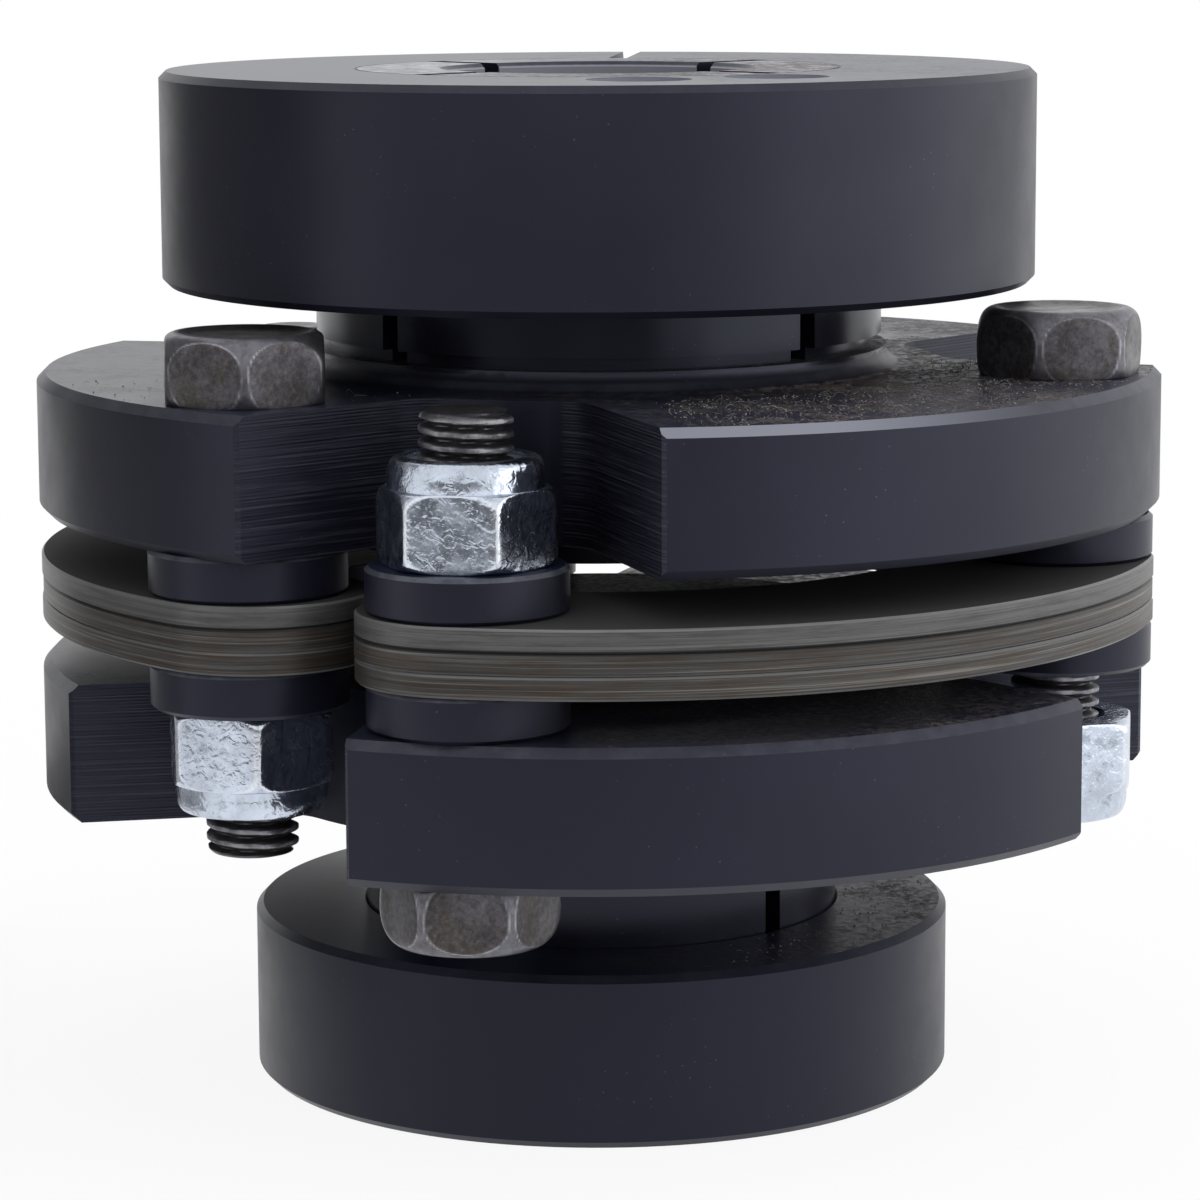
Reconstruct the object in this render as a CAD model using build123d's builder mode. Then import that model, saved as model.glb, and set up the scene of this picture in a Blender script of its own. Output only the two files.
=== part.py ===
"""A disc coupling with two clamping hubs and three laminated links.

Each hub is one turned and milled piece: a flange with three wide notches, a neck, and a sleeve
that four slots turn into gripping fingers. A split collar with one screw closes each sleeve on
its shaft. Three curved links carry the drive between the flanges. Each link runs 90 degrees, from
a bolt of the lower hub to a bolt of the upper hub, and the notches of each hub leave room for the
nuts of the other. Millimetres, +Z up along the shaft, origin in the middle of the lower face.
"""
import os
from math import cos, hypot, radians, sin, sqrt, tan

from build123d import *

# ---- driving dimensions ---------------------------------------------------------------------
# shaft seats and sleeves
shaft_bore = 35.0
sleeve_wall = 10.0
slot_width = 2.4
bore_chamfer = 0.6
# flanges
flange_diameter = 129.0
flange_thickness = 15.6
flange_chamfer = 1.0  # turned on the rim, before the notches are milled
notch_edge_break = 0.4  # where a notch wall meets the rim
bolt_edge_step = 11.0  # bolt centres in from the flange's rim
notch_room = 4.5  # between a nut's spacer and the notch walls
notch_wall_angle = 33.5  # lean of each wall from the notch's own centre line
notch_floor_room = 3.7  # between the corners of a nut and the notch floor
notch_corner_radius = 6.0
inner_boss_step = 5.0  # from the notch floor in to the rim of the raised inner face
inner_boss_height = 2.65
# upper neck: flared foot, relief groove, and the shoulder that the collar stands on
foot_step = 5.6
foot_radius = 2.35
groove_step = 3.6
groove_height = 1.4
shoulder_step = 5.0
shoulder_height = 5.9
# lower neck: as wide as the sleeve
lower_neck_height = 14.35
lower_foot_radius = 1.6
# clamp collars
upper_collar_wall = 22.5
upper_collar_height = 24.15
lower_collar_wall = 13.0
lower_collar_height = 19.4
collar_chamfer = 0.8
collar_bore_chamfer = 0.3
collar_slit = 2.2
upper_slit_angle = 85.0
lower_slit_angle = 90.0
collar_fit = 0.04  # radial
# balance drillings in the upper collar
balance_drill_diameter = 11.4
balance_drill_depth = 0.5  # to the shoulder of the drill point
drill_point_angle = 118.0
balance_radius = 34.5
balance_angles = (-82.7, -56.0)
# laminated links
leaf_count = 3
leaf_thickness = 2.48
link_edge_set = 0.1  # outer edge of a link inside the flange's rim
link_end_gap = 2.37  # between the round ends of two links
leaf_play = 0.12  # a leaf's side play in its bolt holes
leaf_edge_radius = 0.25
spacer_diameter = 21.5
spacer_height = 4.93
spacer_chamfer = 0.45
# hexagon bolts, M10
bolt_diameter = 10.0
bolt_tip_past_nut = 4.8
bolt_tip_chamfer = 1.0
hex_width = 17.0
hex_foot_step = 0.3  # rim of a hexagon's bearing end outside its flats
hex_corner_cut = 0.1  # how much a nut's corners are turned down at mid height
head_corner_cut = 0.2  # and a head's
head_height = 7.5
head_dish_diameter = 14.2
head_dish_rim = 0.2  # width of the flat rim round the dish
head_dish_depth = 0.4
hole_clearance = 0.3  # bolts in flanges, links and spacers, radial
# self-locking nuts
nut_hex_height = 8.3
nut_collar_height = 3.2
nut_collar_roll = 1.2  # how far the collar's rim is rolled in
nut_collar_wall = 1.54  # outside the pocket of the nylon ring
nut_lip = 0.5
nut_lip_reach = 0.58  # how far the lip covers the nylon ring
insert_height = 2.2
insert_wall = 1.75
thread_clearance = 0.04  # radial
insert_clearance = 0.02  # radial
loose_nut = 0  # the upper bolt whose nut has backed off
loose_nut_gap = 5.9
# clamp screws, M8 and M6
upper_screw_diameter = 8.0
upper_screw_length = 30.0
upper_screw_seat = 11.0  # from the middle of the slit to the head's seat
lower_screw_diameter = 6.0
lower_screw_length = 20.0
lower_screw_seat = 5.4
screw_head_ratio = 1.62  # head diameter over thread diameter
screw_socket_ratio = 0.75
screw_hole_clearance = 0.35  # radial
counterbore_clearance = 0.7  # radial
# angles about the shaft, counter-clockwise from +X
bolt_pair_angle = 30.0  # from a bolt of the upper hub to its neighbour of the lower hub
lower_bolt_angle = 15.0
slot_angle = 45.0
# a flat of each hexagon faces this way
upper_head_turns = (41.0, 20.0, 4.8)
upper_nut_turns = (51.5, 44.0, 9.0)
lower_head_turns = (12.0, 38.0, 29.0)
lower_nut_turns = (50.0, 7.0, 20.5)

# ---- what follows from them -----------------------------------------------------------------
bore_radius = shaft_bore / 2
sleeve_radius = bore_radius + sleeve_wall
flange_radius = flange_diameter / 2
bolt_offset = flange_radius - bolt_edge_step
upper_collar_radius = sleeve_radius + upper_collar_wall
lower_collar_radius = sleeve_radius + lower_collar_wall
shoulder_radius = sleeve_radius + shoulder_step
spacer_radius = spacer_diameter / 2
bolt_radius = bolt_diameter / 2
bolt_hole_radius = bolt_radius + hole_clearance
hex_corner_radius = hex_width / sqrt(3)
hex_foot_radius = hex_width / 2 + hex_foot_step
notch_floor_radius = bolt_offset - hex_corner_radius - notch_floor_room
inner_boss_radius = notch_floor_radius - inner_boss_step
pair_sine = sin(radians(bolt_pair_angle / 2))
link_span = 120 - bolt_pair_angle
link_outer_radius = flange_radius - link_edge_set
link_width = (2 * link_outer_radius * pair_sine - link_end_gap) / (1 + pair_sine)
link_middle_radius = link_outer_radius - link_width / 2
link_thickness = leaf_count * leaf_thickness
nut_height = nut_hex_height + nut_collar_height
nut_bore_radius = bolt_radius + thread_clearance
insert_radius = nut_bore_radius + insert_wall
nut_pocket_radius = insert_radius + insert_clearance
nut_collar_radius = nut_pocket_radius + nut_collar_wall
flange_gap = link_thickness + 2 * spacer_height
bolt_length = flange_thickness + flange_gap + nut_height + bolt_tip_past_nut

lower_flange_bottom = lower_collar_height + lower_neck_height
lower_flange_top = lower_flange_bottom + flange_thickness
link_bottom = lower_flange_top + spacer_height
link_top = link_bottom + link_thickness
upper_flange_bottom = link_top + spacer_height
upper_flange_top = upper_flange_bottom + flange_thickness
groove_bottom = upper_flange_top + foot_radius
groove_top = groove_bottom + groove_height
upper_collar_bottom = groove_top + shoulder_height
upper_collar_top = upper_collar_bottom + upper_collar_height

upper_bolt_angle = lower_bolt_angle - bolt_pair_angle
letters = "abc"
upper_bolt_angles = [upper_bolt_angle + 120 * k for k in range(3)]
lower_bolt_angles = [lower_bolt_angle + 120 * k for k in range(3)]

os.makedirs("parts", exist_ok=True)


def save(piece, name):
    """Label a finished piece and write its STEP file."""
    piece.part.label = name
    export_step(piece.part, f"parts/{name}.step")


def bolt_plane(angle, height, facing, turn=0.0):
    """Plane across a bolt's axis; facing is +1 or -1 along the shaft, turn sets its x axis."""
    return Plane(
        origin=(bolt_offset * cos(radians(angle)), bolt_offset * sin(radians(angle)), height),
        x_dir=(cos(radians(turn)), sin(radians(turn)), 0),
        z_dir=(0, 0, facing),
    )


def lathe_plane(place):
    """Plane through the axis of a turned piece, for its half section."""
    return Plane(origin=place.origin, x_dir=place.x_dir, z_dir=-place.y_dir)


def lathe_axis(place):
    return Axis(place.origin, place.z_dir)


# ---- hubs -----------------------------------------------------------------------------------
def notched_flange(bottom, notch_angle):
    """A disc with bevelled rims and three notches, whose walls clear each passing bolt."""
    wall = radians(notch_wall_angle)
    room = spacer_radius + notch_room
    apex = bolt_offset - room / sin(wall)
    outside = flange_radius + flange_thickness
    mouth = (outside - apex) * tan(wall)
    with BuildSketch() as notch:
        with BuildLine():
            Polyline((apex, 0), (outside, mouth), (outside, -mouth), close=True)
        make_face()
        Circle(notch_floor_radius, mode=Mode.SUBTRACT)
        floor_corners = notch.vertices().sort_by(Axis.X)[:2]
        fillet(floor_corners, notch_corner_radius)
    with BuildPart() as disc:
        with BuildSketch(Plane.XY.offset(bottom)) as outline:
            Circle(flange_radius)
            with PolarLocations(0, 3, start_angle=notch_angle):
                add(notch.sketch, mode=Mode.SUBTRACT)
            wall_ends = [v for v in outline.vertices()
                         if abs(hypot(v.X, v.Y) - flange_radius) < 0.001]
            chamfer(wall_ends, notch_edge_break)
        extrude(amount=flange_thickness)
        with BuildSketch(Plane.XZ):
            with BuildLine():
                top = bottom + flange_thickness
                Polyline((0, bottom), (flange_radius - flange_chamfer, bottom),
                         (flange_radius, bottom + flange_chamfer),
                         (flange_radius, top - flange_chamfer),
                         (flange_radius - flange_chamfer, top), (0, top), close=True)
            make_face()
        revolve(axis=Axis.Z, mode=Mode.INTERSECT)
    return disc.part


def bolt_holes(first_angle):
    with PolarLocations(bolt_offset, 3, start_angle=first_angle):
        Circle(bolt_hole_radius)


def sleeve_slots(reach):
    """Two crossed slots, which part the sleeve into four fingers."""
    Rectangle(2 * reach, slot_width, rotation=slot_angle)
    Rectangle(2 * reach, slot_width, rotation=slot_angle + 90)


upper_flange = notched_flange(upper_flange_bottom, lower_bolt_angle)
with BuildPart() as upper_hub:
    add(upper_flange)
    with BuildSketch(Plane.XY.offset(upper_flange_bottom)):
        bolt_holes(upper_bolt_angle)
    extrude(amount=flange_thickness, mode=Mode.SUBTRACT)
    # boss, foot, groove, shoulder and sleeve in one turning
    with BuildSketch(Plane.XZ):
        with BuildLine():
            foot_side = sleeve_radius + foot_step
            Polyline(
                (foot_side, groove_bottom),
                (sleeve_radius + groove_step, groove_bottom),
                (sleeve_radius + groove_step, groove_top),
                (shoulder_radius, groove_top),
                (shoulder_radius, upper_collar_bottom),
                (sleeve_radius, upper_collar_bottom),
                (sleeve_radius, upper_collar_top),
                (bore_radius, upper_collar_top),
                (bore_radius, upper_flange_bottom - inner_boss_height),
                (inner_boss_radius, upper_flange_bottom - inner_boss_height),
                (inner_boss_radius, upper_flange_bottom),
                (foot_side + foot_radius, upper_flange_top),
            )
            RadiusArc(
                (foot_side + foot_radius, upper_flange_top),
                (foot_side, groove_bottom),
                foot_radius,
            )
        make_face()
    revolve(axis=Axis.Z)
    with BuildSketch(Plane.XY.offset(upper_flange_bottom)):
        Circle(bore_radius)
    extrude(amount=flange_thickness, mode=Mode.SUBTRACT)
    bore_ends = upper_hub.edges().filter_by(lambda e: e.geom_type == GeomType.CIRCLE
                                            and abs(e.radius - bore_radius) < 0.001)
    chamfer(bore_ends, bore_chamfer)
    with BuildSketch(Plane.XY.offset(groove_bottom)):
        sleeve_slots(shoulder_radius + slot_width)
    extrude(amount=upper_collar_top - groove_bottom + 1, mode=Mode.SUBTRACT)
save(upper_hub, "upper_hub")

lower_flange = notched_flange(lower_flange_bottom, upper_bolt_angle)
with BuildPart() as lower_hub:
    add(lower_flange)
    with BuildSketch(Plane.XY.offset(lower_flange_bottom)):
        bolt_holes(lower_bolt_angle)
    extrude(amount=flange_thickness, mode=Mode.SUBTRACT)
    with BuildSketch(Plane.XZ):
        with BuildLine():
            Polyline(
                (sleeve_radius, lower_flange_bottom - lower_foot_radius),
                (sleeve_radius, 0),
                (bore_radius, 0),
                (bore_radius, lower_flange_top + inner_boss_height),
                (inner_boss_radius, lower_flange_top + inner_boss_height),
                (inner_boss_radius, lower_flange_top),
                (sleeve_radius + lower_foot_radius, lower_flange_bottom),
            )
            RadiusArc(
                (sleeve_radius + lower_foot_radius, lower_flange_bottom),
                (sleeve_radius, lower_flange_bottom - lower_foot_radius),
                -lower_foot_radius,
            )
        make_face()
    revolve(axis=Axis.Z)
    with BuildSketch(Plane.XY.offset(lower_flange_bottom)):
        Circle(bore_radius)
    extrude(amount=flange_thickness, mode=Mode.SUBTRACT)
    bore_ends = lower_hub.edges().filter_by(lambda e: e.geom_type == GeomType.CIRCLE
                                            and abs(e.radius - bore_radius) < 0.001)
    chamfer(bore_ends, bore_chamfer)
    with BuildSketch(Plane.XY.offset(-1)):
        sleeve_slots(sleeve_radius + slot_width)
    extrude(amount=lower_flange_bottom - lower_foot_radius + 1, mode=Mode.SUBTRACT)
save(lower_hub, "lower_hub")


# ---- clamp collars and their screws ---------------------------------------------------------
def screw_plane(collar_radius, bottom, height, slit_angle):
    """Plane in the middle of the slit, across the screw, which runs midway in the ring's wall."""
    offset = (sleeve_radius + collar_radius) / 2
    turn = radians(slit_angle)
    return Plane(
        origin=(offset * cos(turn), offset * sin(turn), bottom + height / 2),
        x_dir=(0, 0, 1),
        z_dir=(sin(turn), -cos(turn), 0),
    )


def make_clamp_collar(name, radius, bottom, height, slit_angle, screw_diameter, screw_seat,
                      drillings=()):
    """Split ring with a screw across its slit and, in its top face, balance drillings."""
    across = screw_plane(radius, bottom, height, slit_angle)
    top = Plane.XY.offset(bottom + height)
    drill_radius = balance_drill_diameter / 2
    point_depth = drill_radius / tan(radians(drill_point_angle / 2))
    with BuildPart() as collar:
        with BuildSketch(Plane.XY.offset(bottom)):
            Circle(radius)
        extrude(amount=height)
        chamfer(collar.edges(), collar_chamfer)
        with BuildSketch(Plane.XY.offset(bottom)):
            Circle(sleeve_radius + collar_fit)
        extrude(amount=height, mode=Mode.SUBTRACT)
        bore_edges = collar.edges().filter_by(GeomType.CIRCLE).sort_by(lambda e: e.radius)[:2]
        chamfer(bore_edges, collar_bore_chamfer)
        # tapped half, clearance half and counterbore of the screw
        with BuildSketch(across):
            Circle(screw_diameter / 2 + thread_clearance)
        extrude(amount=-radius, mode=Mode.SUBTRACT)
        with BuildSketch(across):
            Circle(screw_diameter / 2 + screw_hole_clearance)
        extrude(amount=screw_seat, mode=Mode.SUBTRACT)
        with BuildSketch(across.offset(screw_seat)):
            Circle(screw_diameter * screw_head_ratio / 2 + counterbore_clearance)
        extrude(amount=radius, mode=Mode.SUBTRACT)
        with BuildSketch(Plane.XY.offset(bottom)):
            Rectangle(2 * radius, collar_slit, rotation=slit_angle, align=(Align.MIN, Align.CENTER))
        extrude(amount=height, mode=Mode.SUBTRACT)
        for angle in drillings:
            drilling = Plane(
                origin=top.from_local_coords((balance_radius * cos(radians(angle)),
                                              balance_radius * sin(radians(angle)), 0)),
                x_dir=(1, 0, 0),
                z_dir=(0, 0, 1),
            )
            with BuildSketch(lathe_plane(drilling)):
                with BuildLine():
                    Polyline((0, 0), (drill_radius, 0), (drill_radius, -balance_drill_depth),
                             (0, -balance_drill_depth - point_depth), close=True)
                make_face()
            revolve(axis=lathe_axis(drilling), mode=Mode.SUBTRACT)
    save(collar, name)


def clamp_screw(name, across, diameter, length, seat):
    """Socket head cap screw, head on the far side of the slit's seat."""
    head_plane = across.offset(seat)
    head_radius = diameter * screw_head_ratio / 2
    with BuildPart() as screw:
        with BuildSketch(head_plane):
            Circle(head_radius)
        extrude(amount=diameter)
        rim = screw.edges().sort_by(lathe_axis(head_plane))[-1]
        chamfer(rim, diameter / 12)
        with BuildSketch(head_plane.offset(diameter)):
            RegularPolygon(diameter * screw_socket_ratio / 2, 6, major_radius=False)
        extrude(amount=-diameter / 2, mode=Mode.SUBTRACT)
        with BuildSketch(head_plane):
            Circle(diameter / 2)
        extrude(amount=-length)
        tip = screw.edges().sort_by(lathe_axis(head_plane))[0]
        chamfer(tip, diameter / 10)
    save(screw, name)


make_clamp_collar("upper_clamp_collar", upper_collar_radius, upper_collar_bottom,
                  upper_collar_height, upper_slit_angle, upper_screw_diameter,
                  upper_screw_seat, balance_angles)
make_clamp_collar("lower_clamp_collar", lower_collar_radius, 0, lower_collar_height,
                  lower_slit_angle, lower_screw_diameter, lower_screw_seat)

upper_screw_plane = screw_plane(upper_collar_radius, upper_collar_bottom, upper_collar_height,
                                upper_slit_angle)
lower_screw_plane = screw_plane(lower_collar_radius, 0, lower_collar_height, lower_slit_angle)
clamp_screw("upper_clamp_screw", upper_screw_plane, upper_screw_diameter, upper_screw_length,
            upper_screw_seat)
clamp_screw("lower_clamp_screw", lower_screw_plane, lower_screw_diameter, lower_screw_length,
            lower_screw_seat)


# ---- hexagon bolts and self-locking nuts -----------------------------------------------------
def hexagon(place, height, corner_radius, crown_radius):
    """Hexagon whose corners a barrel turns down, fullest at mid height."""
    middle = (corner_radius, height / 2)
    with BuildPart() as blank:
        with BuildSketch(place):
            RegularPolygon(hex_width / 2, 6, major_radius=False, rotation=30)
        extrude(amount=height)
        with BuildSketch(lathe_plane(place)):
            with BuildLine():
                TangentArc(middle, (crown_radius, height), tangent=(0, 1))
                TangentArc(middle, (hex_foot_radius, 0), tangent=(0, -1))
                Polyline((hex_foot_radius, 0), (0, 0), (0, height), (crown_radius, height))
            make_face()
        revolve(axis=lathe_axis(place), mode=Mode.INTERSECT)
    return blank.part


def hexagon_bolt(name, place):
    """Bolt with a dished head; place is the face that the head seats on."""
    blank = hexagon(place, head_height, hex_corner_radius - head_corner_cut,
                    head_dish_diameter / 2 + head_dish_rim)
    with BuildPart() as bolt:
        add(blank)
        with BuildSketch(place.offset(head_height)):
            Circle(head_dish_diameter / 2)
        extrude(amount=-head_dish_depth, mode=Mode.SUBTRACT)
        with BuildSketch(place):
            Circle(bolt_radius)
        extrude(amount=-bolt_length)
        tip = bolt.edges().sort_by(lathe_axis(place))[0]
        chamfer(tip, bolt_tip_chamfer)
    save(bolt, name)


def locking_nut(name, place):
    """Nut with a thin collar rolled over its nylon ring; place is its bearing face."""
    foot = nut_collar_radius
    crown = foot - nut_collar_roll
    pocket_top = nut_height - nut_lip
    blank = hexagon(place, nut_hex_height, hex_corner_radius - hex_corner_cut, foot)
    with BuildPart() as nut:
        add(blank)
        with BuildSketch(lathe_plane(place)):
            with BuildLine():
                Polyline((foot, nut_hex_height), (0, nut_hex_height), (0, nut_height),
                         (crown, nut_height))
                middle = (foot - nut_collar_roll * 0.22, nut_hex_height + nut_collar_height * 0.62)
                ThreePointArc((foot, nut_hex_height), middle, (crown, nut_height))
            make_face()
        revolve(axis=lathe_axis(place))
        with BuildSketch(lathe_plane(place)):
            with BuildLine():
                Polyline(
                    (0, 0),
                    (nut_bore_radius, 0),
                    (nut_bore_radius, pocket_top - insert_height),
                    (nut_pocket_radius, pocket_top - insert_height),
                    (nut_pocket_radius, pocket_top),
                    (insert_radius - nut_lip_reach, nut_height),
                    (0, nut_height),
                    close=True,
                )
            make_face()
        revolve(axis=lathe_axis(place), mode=Mode.SUBTRACT)
    save(nut, name)
    with BuildPart() as insert:
        with BuildSketch(place.offset(pocket_top - insert_height)):
            Circle(insert_radius)
            Circle(nut_bore_radius, mode=Mode.SUBTRACT)
        extrude(amount=insert_height)
    save(insert, name.replace("nut", "nut_insert"))


for k, letter in enumerate(letters):
    head = bolt_plane(upper_bolt_angles[k], upper_flange_top, 1, upper_head_turns[k])
    seat = lower_flange_top - (loose_nut_gap if k == loose_nut else 0)
    hexagon_bolt(f"upper_bolt_{letter}", head)
    locking_nut(f"upper_nut_{letter}", bolt_plane(upper_bolt_angles[k], seat, -1,
                                                  upper_nut_turns[k]))
    head = bolt_plane(lower_bolt_angles[k], lower_flange_bottom, -1, lower_head_turns[k])
    hexagon_bolt(f"lower_bolt_{letter}", head)
    locking_nut(f"lower_nut_{letter}", bolt_plane(lower_bolt_angles[k], upper_flange_bottom, 1,
                                                  lower_nut_turns[k]))


# ---- laminated links and their spacers --------------------------------------------------------
def link_leaf(name, first_angle, bottom, shift):
    """One layer of a link: a curved plate with round ends, shift moves it off the shaft."""
    middle = first_angle + link_span / 2
    place = Plane(
        origin=(shift * cos(radians(middle)), shift * sin(radians(middle)), bottom),
        x_dir=(1, 0, 0),
        z_dir=(0, 0, 1),
    )
    with BuildLine() as spine:
        CenterArc((0, 0), link_middle_radius, first_angle, link_span)
    with BuildPart() as leaf:
        with BuildSketch(place):
            SlotArc(spine.wire(), link_width)
            with PolarLocations(bolt_offset, 2, start_angle=first_angle,
                                angular_range=link_span, endpoint=True):
                Circle(bolt_hole_radius, mode=Mode.SUBTRACT)
        extrude(amount=leaf_thickness)
        rims = leaf.faces().filter_by(Axis.Z)
        edges = ShapeList(edge for face in rims for edge in face.outer_wire().edges())
        chamfer(edges, leaf_edge_radius)
    save(leaf, name)


def spacer(name, place):
    with BuildPart() as ring:
        with BuildSketch(place):
            Circle(spacer_radius)
        extrude(amount=spacer_height)
        chamfer(ring.edges(), spacer_chamfer)
        with BuildSketch(place):
            Circle(bolt_hole_radius)
        extrude(amount=spacer_height, mode=Mode.SUBTRACT)
    save(ring, name)


for k, letter in enumerate(letters):
    for n in range(leaf_count):
        link_leaf(f"link_{letter}_leaf_{n + 1}", lower_bolt_angles[k],
                  link_bottom + n * leaf_thickness, -leaf_play * (n % 2))
    for hub, angles in (("upper", upper_bolt_angles), ("lower", lower_bolt_angles)):
        spacer(f"{hub}_bolt_{letter}_top_spacer", bolt_plane(angles[k], link_top, 1))
        spacer(f"{hub}_bolt_{letter}_bottom_spacer", bolt_plane(angles[k], lower_flange_top, 1))

print("overall height", round(upper_collar_top, 3), "bolt length", round(bolt_length, 3))
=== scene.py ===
"""Dresses the disc coupling: threaded bolts, locking nuts, finishes, lint and the studio."""

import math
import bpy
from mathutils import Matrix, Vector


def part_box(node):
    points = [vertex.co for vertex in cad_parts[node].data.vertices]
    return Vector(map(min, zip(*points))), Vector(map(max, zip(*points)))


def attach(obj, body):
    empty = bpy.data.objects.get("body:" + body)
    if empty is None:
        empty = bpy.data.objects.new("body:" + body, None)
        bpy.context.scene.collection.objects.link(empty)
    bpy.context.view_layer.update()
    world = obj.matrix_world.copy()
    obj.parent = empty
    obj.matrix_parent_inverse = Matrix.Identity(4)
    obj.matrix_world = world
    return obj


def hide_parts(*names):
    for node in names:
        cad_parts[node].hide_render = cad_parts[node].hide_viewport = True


bl_info = {
    "name": "Disc Coupling",
    "version": (1, 0, 0),
    "blender": (4, 5, 0),
    "location": "3D View > Sidebar > Coupling",
    "description": "Builds the fasteners, finishes and studio of a laminated disc coupling",
    "category": "Object",
}

import bmesh
import bpy
import numpy as np
from bpy.props import FloatProperty, FloatVectorProperty, IntProperty, PointerProperty
from mathutils import Matrix, Vector

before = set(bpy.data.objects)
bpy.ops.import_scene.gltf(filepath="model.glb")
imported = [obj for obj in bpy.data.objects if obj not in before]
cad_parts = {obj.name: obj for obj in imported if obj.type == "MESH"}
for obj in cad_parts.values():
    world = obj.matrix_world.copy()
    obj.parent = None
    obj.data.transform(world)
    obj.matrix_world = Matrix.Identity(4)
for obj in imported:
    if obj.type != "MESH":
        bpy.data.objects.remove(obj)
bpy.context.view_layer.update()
MM = 0.001
LETTERS = "abc"
HUBS = ("upper", "lower")

# Angles of the fasteners' hexagons about their own axes, in degrees, for a, b and c.
UPPER_HEADS = (41.0, 20.0, 4.8)
UPPER_NUTS = (51.5, 44.0, 9.0)
LOWER_HEADS = (12.0, 38.0, 29.0)
LOWER_NUTS = (50.0, 7.0, 20.5)

# The upper flange: its notches and bolts in degrees round the shaft, and the notches' shape.
NOTCHES = (15, 135, 255)
STUDS = (-15, 105, 225)
NOTCH_LEAN = math.radians(33.5)  # from a notch's centre line to its walls
NOTCH_ROOM = 15.25 * MM  # from a notch's walls to the bolt centre between them
NECK_RADIUS = 37.5 * MM

# Where lint lies. Each row: how many, inner and outer radius in millimetres, the middle angle
# and the spread to each side of it in degrees.
FLANGE_FIBRES = ((460, 41, 62.5, -36, 44), (170, 37, 50, 2, 20), (26, 38, 62, 225, 30))
FLANGE_CRUMBS = ((3000, 41, 63.5, -36, 46), (500, 37, 52, 8, 28), (160, 38, 63, 225, 30))
COLLAR_FIBRES = ((24, 29, 38, -25, 50),)
COLLAR_CRUMBS = ((300, 28.5, 39, -15, 50),)
FIBRE_ROWS, FIBRE_RING = 9, 4
CRUMB_ROWS, CRUMB_RING = 4, 5
FLANGE_FIBRE, COLLAR_FIBRE = 2.6 * MM, 1.8 * MM  # longest

# The left card: its height and, at that height, the angle at which it starts.
CARD_HEIGHTS = np.array([0, 22, 30, 74, 86, 190]) * MM
CARD_STARTS = np.array([143, 143, 168, 168, 153, 153])
CARD_END = 212
CARD_CHANGE = 77 * MM  # height at which its tone changes
FRONT_CARD = (-146, -66)  # angles of the ends of the card ahead
FRONT_CARD_PLACE = -330 * MM
FRONT_CARD_HEIGHT = 92 * MM


# ---- settings -------------------------------------------------------------------------------
def length(name, text, millimetres):
    """Setting for a length, given in millimetres."""
    return FloatProperty(name=name, description=text, default=millimetres * MM, unit="LENGTH")


def number(name, text, value, **kind):
    """Setting for a plain number, an angle or a power."""
    return FloatProperty(name=name, description=text, default=value, **kind)


def tint(name, text, value):
    """Setting for a colour."""
    return FloatVectorProperty(name=name, description=text, default=value, size=3,
                               subtype="COLOR", min=0, max=1)


class CouplingFasteners(bpy.types.PropertyGroup):
    """Sizes of the bolts and nuts."""

    across_flats: length("Across flats", "Width of every hexagon", 17)
    head_height: length("Head height", "Height of a bolt's head", 7.5)
    head_corner_cut: length("Head corner cut", "How much a head's corners are turned down", 0.2)
    dish_diameter: length("Dish diameter", "Shallow dish in a bolt's head", 14.2)
    dish_depth: length("Dish depth", "Depth of the dish", 0.4)
    dish_rim: length("Dish rim", "Width of the rim round the dish", 0.2)
    foot_step: length("Foot step", "Bearing end's rim outside the flats", 0.3)
    thread_diameter: length("Thread", "Outer diameter of the thread", 10)
    thread_pitch: length("Pitch", "Rise of the thread in one turn", 1.5)
    thread_length: length("Thread length", "Threaded end of a bolt", 26)
    nut_hexagon: length("Nut hexagon", "Height of a nut's hexagon", 8.3)
    nut_corner_cut: length("Nut corner cut", "How much a nut's corners are turned down", 0.1)
    collar_radius: length("Collar radius", "Outside of a nut's collar", 8.35)
    bolt_offset: length("Bolt offset", "From the shaft axis to a bolt", 53.5)
    crown_drop: length("Crown drop", "Rounding at a nut's collar end", 2.0)
    foot_rise: length("Foot rise", "Rounding at a nut's bearing end", 1.5)
    sides: IntProperty(name="Columns", description="Columns round a fastener, a multiple of six",
                       default=180, min=24)


class CouplingColours(bpy.types.PropertyGroup):
    """Base colours of the finishes."""

    black: tint("Black oxide", "Hubs, collars and spacers", (0.0090, 0.0089, 0.0168))
    # Also the colour of the painted highlight on the upward chamfers
    worn_and_highlight: tint("Worn edge", "Bare steel where the black has worn off", (0.21, 0.22, 0.26))
    dust: tint("Dust", "Dry brown dust on upper faces", (0.190, 0.155, 0.122))
    lint: tint("Lint", "Pale fibres and crumbs in the dust", (0.42, 0.40, 0.37))
    zinc: tint("Zinc", "Plating of the nuts", (0.62, 0.68, 0.79))
    leaf: tint("Leaf steel", "Clean edge of a link's leaf", (0.092, 0.093, 0.093))
    tarnish: tint("Tarnish", "Brown tarnish on the leaves", (0.048, 0.034, 0.024))
    bolt: tint("Bolt steel", "Heads and threads of the bolts", (0.092, 0.088, 0.099))
    nylon: tint("Nylon", "Locking rings in the nuts", (0.10, 0.11, 0.13))


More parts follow.
